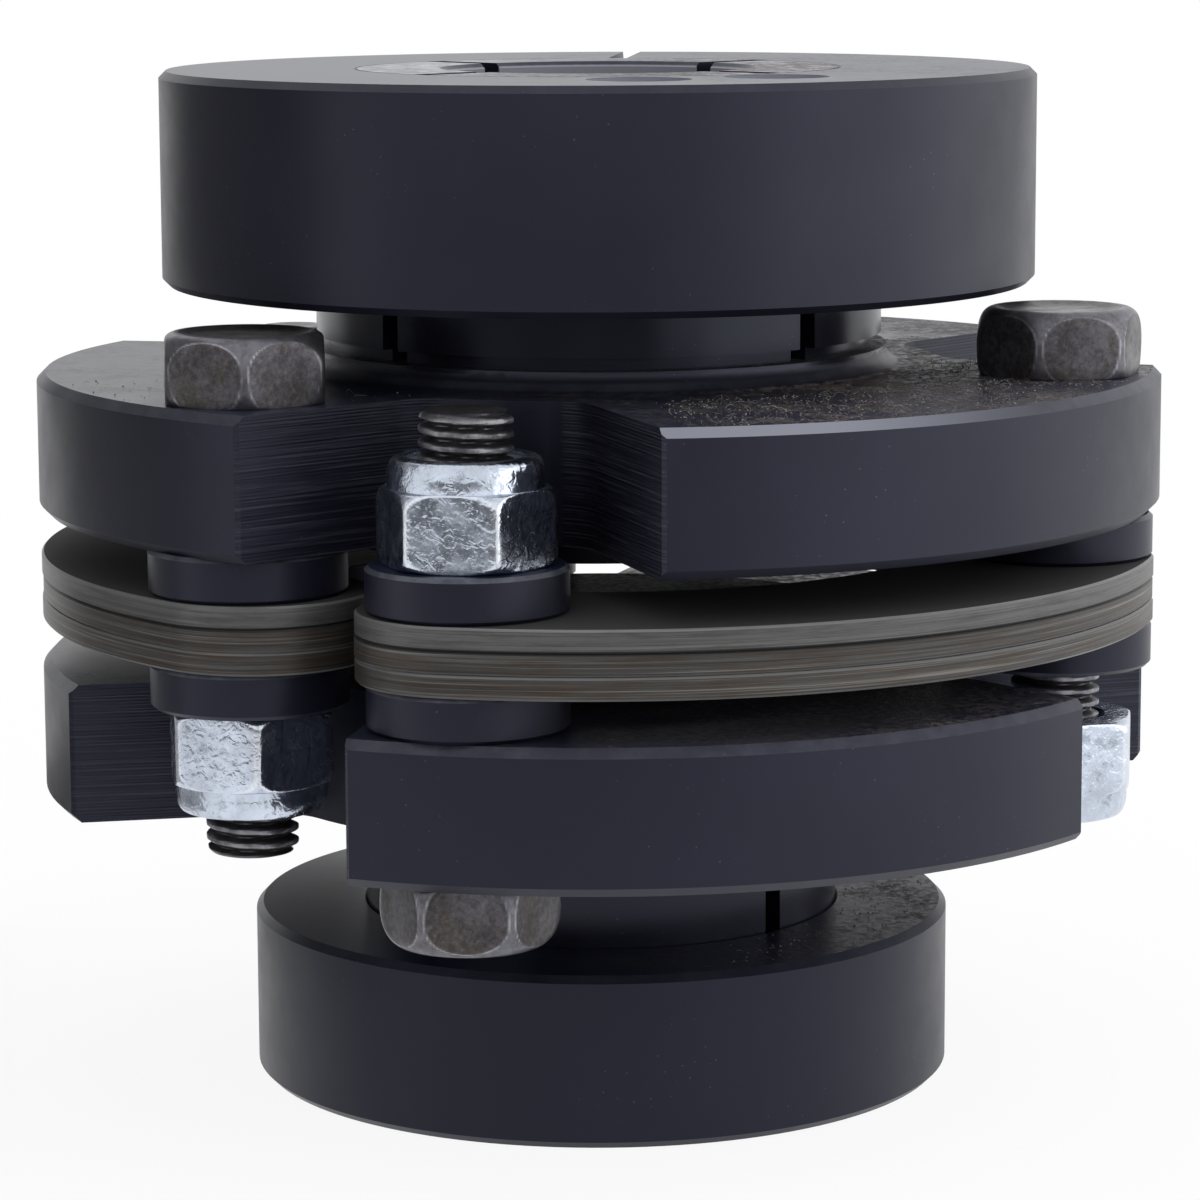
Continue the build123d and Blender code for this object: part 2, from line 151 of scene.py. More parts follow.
class CouplingStudio(bpy.types.PropertyGroup):
    """Camera and light."""

    lens: number("Lens", "Focal length in millimetres", 129.05)
    distance: length("Distance", "From the shaft axis to the camera", 495.06)
    height: length("Height", "Height of the camera above the floor", 135.18)
    pitch: number("Pitch", "Downward tilt of the camera", 0.1619, subtype="ANGLE")
    roll: number("Roll", "Sideways tilt of the camera", -0.0044, subtype="ANGLE")
    floor_radius: length("Floor radius", "Size of the white table", 600)
    tent_light: number("Tent light", "Strength of the light from above", 1.25)
    right_power: number("Right soft box", "Power of the lamp on the right", 0.9, unit="POWER")
    card_distance: length("Card distance", "From the shaft axis to the grey card on the left", 105)
    card_grey: number("Card grey", "Tone of the upper part of the card on the left", 0.27)
    card_low: number("Low card tone", "How much lighter the card's lower part is", 2.4)
    front_grey: number("Front card grey", "Tone of the low card ahead of the coupling", 0.15)


# ---- surfaces -------------------------------------------------------------------------------
def sheet_mesh(name, points, close_u=True):
    """Mesh of a grid of points, shape (columns, rows, 3): a surface of two parameters, the
    column u running round the axis and the row v along the profile. Quads join neighbours,
    and the last column joins the first when close_u is set."""
    columns, rows = points.shape[:2]
    index = np.arange(columns * rows).reshape(columns, rows)
    following = np.roll(index, -1, axis=0)
    if not close_u:
        index, following = index[:-1], following[:-1]
    quads = np.stack([index[:, :-1], following[:, :-1], following[:, 1:], index[:, 1:]], axis=-1)
    return quad_mesh(name, points.reshape(-1, 3), quads.reshape(-1, 4))


def quad_mesh(name, points, quads):
    """Mesh from an array of points and an array of four corner numbers for each face."""
    mesh = bpy.data.meshes.new(name)
    mesh.vertices.add(len(points))
    mesh.vertices.foreach_set("co", np.ascontiguousarray(points, dtype=np.float32).ravel())
    mesh.loops.add(quads.size)
    mesh.loops.foreach_set("vertex_index", quads.astype(np.int32).ravel())
    mesh.polygons.add(len(quads))
    mesh.polygons.foreach_set("loop_start", np.arange(0, quads.size, 4, dtype=np.int32))
    mesh.update(calc_edges=True)
    mesh.validate()
    mesh.shade_smooth()
    return mesh


def weld(mesh):
    """Merges the points that meet at poles and turns every face outwards."""
    work = bmesh.new()
    work.from_mesh(mesh)
    bmesh.ops.remove_doubles(work, verts=work.verts, dist=1e-7)
    bmesh.ops.dissolve_degenerate(work, edges=work.edges, dist=1e-8)
    bmesh.ops.recalc_face_normals(work, faces=work.faces)
    work.to_mesh(mesh)
    work.free()
    mesh.set_sharp_from_angle(angle=math.radians(38))


def hexagon_radius(turn, half_width):
    """Distance from the axis to a hexagon's flats at each angle: the half width divided by the
    largest of the cosines to its three pairs of flats."""
    flats = np.abs(np.cos(turn[:, None] - np.radians([0, 60, 120])[None, :]))
    return half_width / flats.max(axis=1)


def smaller(a, b):
    """Smaller of two lengths with a rounded change-over: the mean less the root of half the
    difference squared plus the reach squared, and a quarter of the reach to fill the corner."""
    reach = 0.11 * MM
    return (a + b) / 2 - np.sqrt(((a - b) / 2)**2 + reach**2) + 0.25 * reach


def barrel_radius(height, total, widest, foot, rise, crown, drop):
    """Radius of a barrel that narrows by a quarter ellipse at each end: from widest to foot
    over the first rise of its height, and from widest to crown over the last drop."""
    low = np.clip((rise - height) / rise, 0, 1)
    high = np.clip((height - (total - drop)) / drop, 0, 1)
    return (widest - (widest - foot) * (1 - np.sqrt(1 - low**2))
            - (widest - crown) * (1 - np.sqrt(1 - high**2)))


def barrelled_hexagon(turn, height, half_width, total, **ends):
    """Hexagon whose corners and ends a barrel turns down. Returns the radius for every column
    and height, how near each point lies to the edge between flat and barrel (1 on it), and
    whether it lies on the barrel (1) or on a flat (0)."""
    edge_width, fade = 0.20 * MM, 0.12 * MM
    flat = hexagon_radius(turn, half_width)[:, None]
    barrel = barrel_radius(height, total, **ends)[None, :]
    edge = np.clip(1 - np.abs(flat - barrel) / edge_width, 0, 1)
    on_barrel = np.clip(0.5 + (flat - barrel) / fade, 0, 1)
    return smaller(flat, barrel), edge, on_barrel


def soften(profile, reach):
    """Rounds the inner corners of profiles, shape (columns, corners, 2). Each corner is cut
    back by its reach, at most 0.45 of the side, and replaced by a quadratic curve
    (1-t)^2 a + 2t(1-t) corner + t^2 b between the cut points."""
    rows = [profile[:, :1]]
    t = np.linspace(0, 1, 4)[None, :, None]
    for k in range(1, profile.shape[1] - 1):
        corner = profile[:, k]
        if reach[k] <= 0:
            rows.append(corner[:, None])
            continue
        ends = []
        for other in (profile[:, k - 1], profile[:, k + 1]):
            side = other - corner
            length = np.maximum(np.linalg.norm(side, axis=1, keepdims=True), 1e-9)
            ends.append(corner + side / length * np.minimum(reach[k], 0.45 * length))
        a, b = (end[:, None] for end in ends)
        rows.append((1 - t)**2 * a + 2 * t * (1 - t) * corner[:, None] + t**2 * b)
    rows.append(profile[:, -1:])
    return np.concatenate(rows, axis=1)


def spun(profile, turn, centre, facing):
    """Points of a profile of (radius, height) pairs carried round the axis at the angles turn:
    (cx + r cos u, cy + r sin u, cz + facing h)."""
    radius, height = profile[..., 0], profile[..., 1]
    return np.stack([centre[0] + radius * np.cos(turn)[:, None],
                     centre[1] + radius * np.sin(turn)[:, None],
                     centre[2] + facing * height], axis=-1)


def thread_radius(turn, height, outer, pitch):
    """Radius of a screw thread: a rounded trapezoid wave of height/pitch - turn/(2 pi), whose
    root, flank and depth are shares of the pitch. The flank is a mix of a straight line and a
    smooth step, with the share smooth of the step."""
    root, flank, depth, smooth = 0.10, 0.62, 0.58, 0.45
    phase = (height / pitch - turn / (2 * math.pi)) % 1
    rise = np.clip((np.abs(2 * phase - 1) - root) / flank, 0, 1)
    rise = rise * rise * (3 - 2 * rise) * smooth + rise * (1 - smooth)
    return outer - depth * pitch * (1 - rise)


def corners(columns, pairs):
    """The same profile of (radius, height) pairs for every column."""
    return np.tile(np.array(pairs, dtype=float), (columns, 1, 1))


def end_rows(total, rise, drop, count):
    """Heights that crowd towards both ends: cosine steps over the rise and the drop, and even
    steps between them."""
    spacing = 0.35 * MM
    step = np.linspace(0, math.pi / 2, count)
    low = rise * (1 - np.cos(step))
    high = total - drop * (1 - np.sin(step))
    middle = np.linspace(rise, total - drop, max(int((total - drop - rise) / spacing), 0) + 2)
    return np.unique(np.round(np.concatenate([low, middle, high]), 9))


def put(name, mesh, material, node, marks):
    """Adds a piece to the coupling in place of a CAD node, with its marks per point for wear,
    turned faces, painted highlight and painted shade.
    """
    for key, values in marks.items():
        layer = mesh.attributes.new(key, "FLOAT", "POINT")
        layer.data.foreach_set("value", values.astype(np.float32).ravel())
    weld(mesh)
    piece = bpy.data.objects.new(name, mesh)
    bpy.context.scene.collection.objects.link(piece)
    mesh.materials.append(material)
    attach(piece, "root")
    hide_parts(node)


def bolt_surface(node, facing, turn_degrees, sizes):
    """Hexagon bolt as one surface of angle and profile: out over the dished head, down its
    barrelled flats, under the head, along the shank and thread, and in to the tip's centre.
    Returns the points and the marks edge, barrel, crest and thread."""
    low, high = (np.array(v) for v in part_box(node))
    half = sizes.across_flats / 2
    shank = sizes.thread_diameter / 2
    top = sizes.head_height
    centre = (low + high) / 2
    centre[2] = high[2] - top if facing > 0 else low[2] + top
    length = high[2] - low[2] - top
    local = np.linspace(0, 2 * math.pi, sizes.sides, endpoint=False)
    turn = local + math.radians(turn_degrees)
    dish = sizes.dish_diameter / 2
    crown = dish + sizes.dish_rim
    widest = 2 * half / math.sqrt(3) - sizes.head_corner_cut
    up = end_rows(top, top / 2, top / 2, 22)[::-1]
    radius, edge, barrel = barrelled_hexagon(local, up, half, top, widest=widest, crown=crown,
                                             foot=half + sizes.foot_step, rise=top / 2,
                                             drop=top / 2)
    side = np.stack([radius, np.broadcast_to(up, radius.shape)], axis=-1)
    slope = 1.3 * MM  # width of the dish's sloping side
    dished = corners(sizes.sides, [
        (0, top - sizes.dish_depth), (dish - slope, top - sizes.dish_depth),
        (dish - 0.15 * MM, top - 0.05 * MM), (dish, top), (crown, top)])
    dished = soften(dished, [0, 0.5 * MM, 0.12 * MM, 0.05 * MM, 0])[:, :-1]
    fillet = 0.35 * MM
    under = corners(sizes.sides, [(shank + fillet, 0), (shank, -fillet)])
    start = length - sizes.thread_length
    rows_per_turn, runout_turns = 10, 2
    rows = np.linspace(start, length,
                       int(sizes.thread_length / sizes.thread_pitch * rows_per_turn))
    height = np.broadcast_to(rows, (sizes.sides, len(rows)))
    thread = thread_radius(turn[:, None] * facing, height, shank, sizes.thread_pitch)
    runout = np.clip((height - start) / (runout_turns * sizes.thread_pitch), 0, 1)
    thread = shank * (1 - runout) + thread * runout
    nose_depth, nose_length = 1.15 * MM, 1.3 * MM  # the tip is rounded by a quarter ellipse
    along = np.clip(1 - (length - height) / nose_length, 0, 1)
    thread = np.minimum(thread, shank - nose_depth + nose_depth * np.sqrt(1 - along**2))
    crest_depth, crest_fade = 0.22 * MM, 0.18 * MM
    crest = np.clip((thread - (shank - crest_depth)) / crest_fade, 0, 1) * runout
    screw = np.stack([thread, -height], axis=-1)
    plain = corners(sizes.sides, [(shank, -0.5 * MM), (shank, -start + 0.01 * MM)])
    tip_radius, tip_hollow = shank - 1.6 * MM, 0.12 * MM
    tip = corners(sizes.sides, [(tip_radius, -length), (0, -length + tip_hollow)])
    parts = [dished, side, under, plain, screw, tip]
    points = spun(np.concatenate(parts, axis=1), turn, centre, facing)
    zero = [np.zeros(part.shape[:2]) for part in parts]
    # the dish's rim carries the edge mark: wear and painted highlight
    rim = zero[0].copy()
    rim[:, -4:] = 1
    marks = {"edge": [rim, edge, *zero[2:]], "barrel": [zero[0], barrel, *zero[2:]],
             "crest": [*zero[:4], crest, zero[5]],
             "thread": [*zero[:4], zero[4] + runout, zero[5]]}
    return points, {key: np.concatenate(rows, axis=1) for key, rows in marks.items()}


def nut_surface(node, facing, turn_degrees, sizes):
    """Locking nut as a closed ring: bearing face, barrelled hexagon, rolled collar with its
    lip, and back down the bore. Returns the points and the marks edge and barrel."""
    low, high = (np.array(v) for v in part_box(node))
    centre = (low + high) / 2
    centre[2] = low[2] if facing > 0 else high[2]
    total = high[2] - low[2]
    half = sizes.across_flats / 2
    bore = sizes.thread_diameter / 2 + 0.04 * MM
    shoulder = sizes.nut_hexagon
    collar = sizes.collar_radius
    local = np.linspace(0, 2 * math.pi, sizes.sides, endpoint=False)
    turn = local + math.radians(turn_degrees)
    widest = 2 * half / math.sqrt(3) - sizes.nut_corner_cut
    up = end_rows(shoulder, sizes.foot_rise, sizes.crown_drop, 14)
    radius, edge, barrel = barrelled_hexagon(local, up, half, shoulder, widest=widest,
                                             foot=half - 0.2 * MM, rise=sizes.foot_rise,
                                             crown=collar, drop=sizes.crown_drop)
    side = np.stack([radius, np.broadcast_to(up, radius.shape)], axis=-1)
    entry = 0.8 * MM  # height of the bore's chamfer
    below = corners(sizes.sides, [(bore, entry), (bore + 0.7 * MM, 0), (half - 0.9 * MM, 0)])
    # The collar's wall, its rolled rim, the lip over the nylon ring, and the bore back down.
    outer = [(collar - 0.06 * MM, shoulder + 0.15 * MM), (collar - 0.05 * MM, total - 1.5 * MM),
             (collar - 0.55 * MM, total - 0.25 * MM), (collar - 1.2 * MM, total)]
    inner = [(bore + 1.3 * MM, total), (bore + 1.18 * MM, total - 0.15 * MM),
             (bore + 1.2 * MM, total - 0.75 * MM), (bore, total - 3.2 * MM), (bore, entry)]
    reach = np.array([0, 0.9, 0.45, 0.12, 0.08, 0.1, 0.1, 0, 0]) * MM
    rolled = soften(corners(sizes.sides, outer + inner), reach)
    parts = [below, side, rolled]
    zero = [np.zeros(part.shape[:2]) for part in parts]
    marks = {"edge": [zero[0], edge, zero[2]], "barrel": [zero[0], barrel, zero[2]]}
    return (spun(np.concatenate(parts, axis=1), turn, centre, facing),
            {key: np.concatenate(rows, axis=1) for key, rows in marks.items()})


def lint_places(rng, count, inner, outer, middle, spread):
    """Random places (x, y) on a ring between the radii inner and outer, in millimetres, and
    within the angle spread of the angle middle, in degrees."""
    radius = np.sqrt(rng.uniform((inner * MM)**2, (outer * MM)**2, count))
    angle = np.radians(middle + spread * rng.uniform(-1, 1, count))
    return np.stack([radius * np.cos(angle), radius * np.sin(angle)], axis=-1)


def on_lobe(places, sizes):
    """Which places lie on the upper flange's metal: outside the wedge of each notch, and clear
    of the bolts' heads."""
    wall_room, head_room = 2.5 * MM, 10.6 * MM
    good = np.ones(len(places), bool)
    radius = np.hypot(*places.T)
    apex = sizes.bolt_offset - NOTCH_ROOM / math.sin(NOTCH_LEAN)
    for angle in np.radians(NOTCHES):
        along = places @ [math.cos(angle), math.sin(angle)]
        across = places @ [-math.sin(angle), math.cos(angle)]
        inside = np.abs(across) < (along - apex) * math.tan(NOTCH_LEAN) + wall_room
        good &= ~(inside & (radius > NECK_RADIUS))
    for angle in np.radians(STUDS):
        centre = sizes.bolt_offset * np.array([math.cos(angle), math.sin(angle)])
        good &= np.hypot(*(places - centre).T) > head_room
    return good


def fibre_points(places, level, rng, longest):
    """Curled fibres that lie on a level face. Along t from 0 to 1 the heading is a + b t +
    c sin(7 t), the path is the running sum of (cos, sin) of the heading, the height is
    level + lift sin(pi t)^2, and the radius is r sqrt(sin(pi t)), so both ends close."""
    count = len(places)
    t = np.linspace(0, 1, FIBRE_ROWS)[None, :]
    length = rng.uniform(0.25, 1.0, (count, 1))**1.6 * longest
    heading = (rng.uniform(0, 2 * math.pi, (count, 1)) + rng.normal(0, 1.6, (count, 1)) * t
               + rng.normal(0, 0.4, (count, 1)) * np.sin(7 * t))
    step = length / (FIBRE_ROWS - 1)
    x = places[:, :1] + np.cumsum(np.cos(heading), axis=1) * step
    y = places[:, 1:] + np.cumsum(np.sin(heading), axis=1) * step
    thick = rng.uniform(0.012, 0.026, (count, 1)) * MM
    lift = rng.uniform(0.05, 0.55, (count, 1)) * MM
    z = level + thick + lift * np.sin(math.pi * t)**2
    ring = np.linspace(0, 2 * math.pi, FIBRE_RING, endpoint=False)
    radius = (thick * np.sqrt(np.clip(np.sin(math.pi * t), 0, 1)))[..., None]
    return np.stack([x[..., None] - np.sin(heading)[..., None] * radius * np.cos(ring),
                     y[..., None] + np.cos(heading)[..., None] * radius * np.cos(ring),
                     z[..., None] + radius * np.sin(ring)], axis=-1)


def crumb_points(places, level, rng):
    """Crumbs as squashed five-sided lumps, mostly small: rings of radius r sin v at the height
    0.6 r (1 - cos v), each point pushed in or out at random."""
    count = len(places)
    smallest, growth = 0.035 * MM, 0.11 * MM
    size = smallest + rng.uniform(0, 1, (count, 1, 1))**3 * growth
    v = np.linspace(0, math.pi, CRUMB_ROWS)[None, :, None]
    u = np.linspace(0, 2 * math.pi, CRUMB_RING, endpoint=False)[None, None, :]
    rough = rng.uniform(0.6, 1.2, (count, CRUMB_ROWS, CRUMB_RING))
    return np.stack([places[:, 0, None, None] + size * np.sin(v) * np.cos(u) * rough,
                     places[:, 1, None, None] + size * np.sin(v) * np.sin(u) * rough,
                     level + size * 0.6 * (1 - np.cos(v)) + 0 * u], axis=-1)


def tube_quads(count, rows, ring, first):
    """Corner numbers of the quads of several tubes laid one after another in one array."""
    index = np.arange(count * rows * ring).reshape(count, rows, ring) + first
    following = np.roll(index, -1, axis=2)
    return np.stack([index[:, :-1], following[:, :-1], following[:, 1:], index[:, 1:]],
                    axis=-1).reshape(-1, 4)


# ---- shader helpers ---------------------------------------------------------------------------
class Nodes:
    """The node tree of a material or a world under construction."""

    def __init__(self, holder):
        holder.use_nodes = True
        self.tree = holder.node_tree
        self.tree.nodes.clear()

    def add(self, kind, inputs=None, **settings):
        """A new node, whose inputs are linked to sockets or set to values."""
        node = self.tree.nodes.new("ShaderNode" + kind)
        for key, value in settings.items():
            setattr(node, key, value)
        for key, value in (inputs or {}).items():
            if isinstance(value, bpy.types.NodeSocket):
                self.tree.links.new(value, node.inputs[key])
            else:
                node.inputs[key].default_value = value
        return node

    def math(self, operation, a, b=0.0):
        return self.add("Math", {0: a, 1: b}, operation=operation).outputs[0]

    def times(self, *values):
        """Product of two or more values."""
        total = values[0]
        for value in values[1:]:
            total = self.math("MULTIPLY", total, value)
        return total

    def band(self, value, start, end, low=0.0, high=1.0):
        """Smooth step of a value from low at start to high at end."""
        return self.add("MapRange", {0: value, 1: start, 2: end, 3: low, 4: high},
                        interpolation_type="SMOOTHSTEP", clamp=True).outputs[0]

    def white_rays(self):
        """1 for the rays that see the white background: camera, glossy and transmission."""
        path = self.add("LightPath").outputs
        seen = self.math("MAXIMUM", path["Is Camera Ray"], path["Is Glossy Ray"])
        return self.math("MAXIMUM", seen, path["Is Transmission Ray"])


class Finish(Nodes):
    """A node material whose patterns read Object coordinates."""

    def __init__(self, name):
        self.material = bpy.data.materials.new(name)
        super().__init__(self.material)
        self.place = self.add("TexCoord").outputs["Object"]
        self.x, self.y, self.z = self.add("SeparateXYZ", {0: self.place}).outputs
        normal = self.add("NewGeometry").outputs["Normal"]
        self.nx, self.ny, self.nz = self.add("SeparateXYZ", {0: normal}).outputs
        flat = self.add("VectorMath", {0: self.place, 1: (1, 1, 0)}, operation="MULTIPLY")
        self.radius = self.add("VectorMath", {0: flat.outputs[0]}, operation="LENGTH").outputs[1]

    def noise(self, scale, detail=3.0, rough=0.5, stretch=None, warp=0.0, shift=0.0):
        """Cloudy noise; shift moves it, so that two patterns don't coincide."""
        vector = self.place
        if stretch or shift:
            vector = self.add("Mapping", {"Vector": vector, "Location": (shift, shift, shift),
                                          "Scale": stretch or (1, 1, 1)}).outputs[0]
        return self.add("TexNoise", {"Vector": vector, "Scale": scale, "Detail": detail,
                                     "Roughness": rough, "Distortion": warp}).outputs[0]

    def spots(self, scale, size, shift=0.0):
        """Sparse round spots: a smooth step of the distance to the nearest random point."""
        vector = self.add("Mapping", {"Vector": self.place,
                                      "Location": (shift, shift, shift)}).outputs[0]
        cell = self.add("TexVoronoi", {"Vector": vector, "Scale": scale}, feature="F1")
        return self.band(cell.outputs["Distance"], size, size * 0.45)

    def blend(self, factor, a, b):
        """Colour a where factor is 0 and b where it is 1."""
        node = self.add("Mix", data_type="RGBA")
        for socket, value in ((0, factor), (6, a), (7, b)):
            if isinstance(value, bpy.types.NodeSocket):
                self.tree.links.new(value, node.inputs[socket])
            elif socket == 0:
                node.inputs[0].default_value = value
            else:
                node.inputs[socket].default_value = (*value[:3], 1)
        return node.outputs[2]

    def level(self, factor, a, b):
        """Number a where factor is 0 and b where it is 1."""
        node = self.add("Mix", {0: factor, 2: a, 3: b}, data_type="FLOAT")
        return node.outputs[0]

    def mark(self, name):
        """Mark for wear, turned faces or painted light that a piece carries on its points; nothing
        on a piece without it.
        """
        return self.add("Attribute", attribute_name=name).outputs["Fac"]

    def bump(self, height, distance, normal=None):
        inputs = {"Height": height, "Distance": distance, "Strength": 1.0}
        if normal is not None:
            inputs["Normal"] = normal
        return self.add("Bump", inputs).outputs[0]

    def finish(self, colour, roughness, normal, metallic=0.0, **sockets):
        """Closes the tree with a principled shader and returns the material."""
        inputs = {"Base Color": colour, "Roughness": roughness, "Metallic": metallic,
                  "Normal": normal}
        for key, value in sockets.items():
            inputs[key.replace("_", " ")] = value
        shader = self.add("BsdfPrincipled", inputs)
        self.add("OutputMaterial", {0: shader.outputs[0]})
        return self.material


def shade(colour, factor):
    """A colour made darker or lighter by a factor."""
    return tuple(part * factor for part in colour)


# ---- finishes -------------------------------------------------------------------------------
def blackened_steel(name, colours, dusty=0.0, ends=0.0, milled=False, rims=0.14, drilled=0.0,
                    gloss=0.38):
    """Black oxide on turned steel: even and satin, with pin specks, thin bright rims of wear and
    painted highlight, upper faces painted in a lighter, bluer sheen, brown dust and lint on upper
    faces and, where milled, the cutter's fine level lines on the walls."""
    f = Finish(name)
    painted_top_sheen, speck, bright_line, dark_line = (
        (0.010, 0.014, 0.034), (0.16, 0.16, 0.20), (0.075, 0.075, 0.100), (0.002, 0.002, 0.004))
    bore_steel, drilled_steel, finger_end, finger_mottle = (
        (0.24, 0.24, 0.28), (0.22, 0.22, 0.27), (0.16, 0.16, 0.19), (0.36, 0.36, 0.41))
    cloud = f.noise(38, 4, 0.6)
    grain = f.noise(2600, 2, 0.6)
    base = f.blend(f.band(cloud, 0.3, 0.75), shade(colours.black, 0.85),
                   shade(colours.black, 1.15))
    steep = f.math("ABSOLUTE", f.nz)
    upward = f.band(f.nz, 0.86, 0.97)
    level = f.band(steep, 0.86, 0.97)
    slanted = f.times(f.band(steep, 0.42, 0.62), f.band(steep, 0.93, 0.80))
    rim = f.times(slanted, f.band(f.nz, 0.3, 0.5))
    # Upward chamfers get bare-steel wear and a painted highlight, mottled by noise
    worn_and_highlight = f.times(f.band(f.noise(210, 4, 0.7), 0.38, 0.62, 0.45, 1.0), rims)
    if milled:  # painted highlight on the upper flange's front right rim, weaker further right
        front_rim_highlight = f.times(f.band(f.y, -40 * MM, -46 * MM), f.band(f.x, 4 * MM, 6 * MM),
                        f.band(f.x, 50 * MM, 20 * MM, 0.10, 1.0), f.band(f.z, 60 * MM, 62 * MM))
        worn_and_highlight = f.math("MAXIMUM", front_rim_highlight, worn_and_highlight)
    base = f.blend(f.times(rim, worn_and_highlight), base, colours.worn_and_highlight)
    specks = f.times(f.spots(900, 0.10), f.band(f.noise(75, 3), 0.52, 0.66), 0.45)
    base = f.blend(specks, base, speck)
    rough = f.level(f.band(f.noise(70, 4, 0.7), 0.25, 0.8), 0.34, 0.44)
    rough = f.level(level, rough, 0.31)
    # painted sheen: upward faces made lighter and bluer, as the reflected light shows them
    base = f.blend(f.times(upward, 0.8), base, painted_top_sheen)
    normal = f.bump(grain, 0.006 * MM)
    if milled:
        side = f.band(steep, 0.3, 0.15)
        outward = f.math("ADD", f.times(f.nx, f.x), f.times(f.ny, f.y))
        radial = f.math("ABSOLUTE", f.math("DIVIDE", outward, f.radius))
        wall = f.times(side, f.band(radial, 0.985, 0.93),
                       f.band(f.radius, NECK_RADIUS, NECK_RADIUS + MM))
        neck = f.times(side, f.band(f.radius, NECK_RADIUS, NECK_RADIUS - MM))
        rough = f.level(neck, rough, 0.24)
        cutter_feed = 0.36 * MM
        ripple = f.math("SINE", f.times(f.z, 2 * math.pi / cutter_feed))
        lines = f.noise(1.0, 3, 0.8, stretch=(34, 34, 3600))
        cut = f.times(f.math("ADD", lines, f.times(ripple, 0.10)), wall)
        normal = f.bump(cut, 0.085 * MM, normal)
        base = f.blend(f.times(f.band(lines, 0.53, 0.64), wall, 0.34), base, bright_line)
        base = f.blend(f.times(f.band(lines, 0.49, 0.40), wall, 0.7), base, dark_line)
    bore = f.band(f.radius, 17.75 * MM, 17.6 * MM)
    base = f.blend(f.times(bore, 0.9), base, bore_steel)
    if drilled:  # the balance drillings at the front of the face at this height
        sunk = f.times(f.band(f.z, drilled - 0.01 * MM, drilled - 0.06 * MM),
                       f.band(f.radius, 28.6 * MM, 28.8 * MM),
                       f.band(f.radius, 41.2 * MM, 40.6 * MM), f.band(f.y, 0.0, -10 * MM))
        base = f.blend(sunk, base, drilled_steel)
    if ends:  # the end faces of the upper sleeve's fingers
        finger = f.times(upward, f.band(f.radius, 27.7 * MM, 27.4 * MM),
                         f.band(f.z, 110 * MM, 112 * MM))
        mottle = f.band(f.noise(420, 5, 0.75), 0.42, 0.60)
        sides_only = f.band(f.math("ABSOLUTE", f.x), 10 * MM, 16 * MM)
        base = f.blend(f.times(finger, ends), base, finger_end)
        base = f.blend(f.times(finger, mottle, sides_only), base, finger_mottle)
    if dusty:
        heap = f.band(f.noise(95, 6, 0.72), 0.47, 0.66)
        film = f.band(f.noise(24, 4, 0.6, shift=2.0), 0.30, 0.68)
        right = f.band(f.x, -30 * MM, 30 * MM, 0.10, 1.0)
        speckle = f.band(f.noise(1100, 4, 0.75, shift=5.0), 0.40, 0.60, 0.10, 1.0)
        amount = f.math("ADD", f.times(film, 0.65), f.times(heap, 0.60))
        amount = f.times(amount, right, speckle, upward, dusty)
        base = f.blend(amount, base, colours.dust)
        crumbs = f.times(f.spots(820, 0.26, shift=7.0), heap, upward, right, dusty)
        base = f.blend(f.times(crumbs, 0.75), base, colours.lint)
        rough = f.level(f.math("MINIMUM", f.times(amount, 2.5), 1.0), rough, 0.75)
        normal = f.bump(f.math("ADD", amount, crumbs), 0.05 * MM, normal)
    return f.finish(base, rough, normal, Specular_IOR_Level=gloss,
                    Specular_Tint=(0.74, 0.79, 1.0, 1.0))


def bolt_steel(name, colours):
    """Dark tempered steel: smoky film on the flats, bright turned barrels, edges of wear and
    painted highlight, and threads with painted shade in the root and a painted highlight on the
    crest."""
    f = Finish(name)
    smoke, pit, grit, barrel_steel = (
        (0.070, 0.058, 0.048), (0.030, 0.027, 0.027), (0.20, 0.19, 0.20), (0.19, 0.19, 0.22))
    edge_steel_and_highlight, root_shade, crest_highlight = (
        (0.46, 0.46, 0.49), (0.050, 0.048, 0.056), (0.36, 0.36, 0.39))
    film = f.band(f.noise(170, 5, 0.7), 0.32, 0.66)
    base = f.blend(film, shade(colours.bolt, 0.55), shade(colours.bolt, 1.30))
    stain = f.band(f.noise(130, 4, 0.6, shift=4.0), 0.44, 0.62)
    base = f.blend(f.times(stain, 0.6), base, smoke)
    grain = f.noise(1500, 3, 0.75, shift=9.0)
    base = f.blend(f.times(f.band(grain, 0.50, 0.40), 0.45), base, pit)
    base = f.blend(f.times(f.band(grain, 0.54, 0.66), 0.30), base, grit)
    barrel, edge, crest = f.mark("barrel"), f.mark("edge"), f.mark("crest")
    turned = f.band(f.noise(520, 5, 0.75, shift=6.0), 0.36, 0.66, 0.25, 0.85)
    base = f.blend(f.times(barrel, turned), base, barrel_steel)
    edge_mottle = f.band(f.noise(260, 4, 0.7, shift=3.0), 0.40, 0.62, 0.08, 0.75)
    # painted highlight, mixed with wear, along the edges between flats and barrel
    base = f.blend(f.times(f.band(edge, 0.35, 1.0), edge_mottle), base, edge_steel_and_highlight)
    # painted shade darkens the thread, and a painted highlight lies along its crests
    base = f.blend(f.times(f.mark("thread"), 0.45), base, root_shade)
    crest_highlight_mottle = f.band(f.noise(420, 4, 0.7, shift=8.0), 0.36, 0.58, 0.30, 1.0)
    base = f.blend(f.times(crest, crest_highlight_mottle, 0.75), base, crest_highlight)
    rough = f.level(f.band(f.noise(300, 4, 0.7, shift=2.0), 0.3, 0.7), 0.28, 0.44)
    height = f.noise(700, 5, 0.7)
    return f.finish(base, rough, f.bump(height, 0.022 * MM), metallic=0.8)


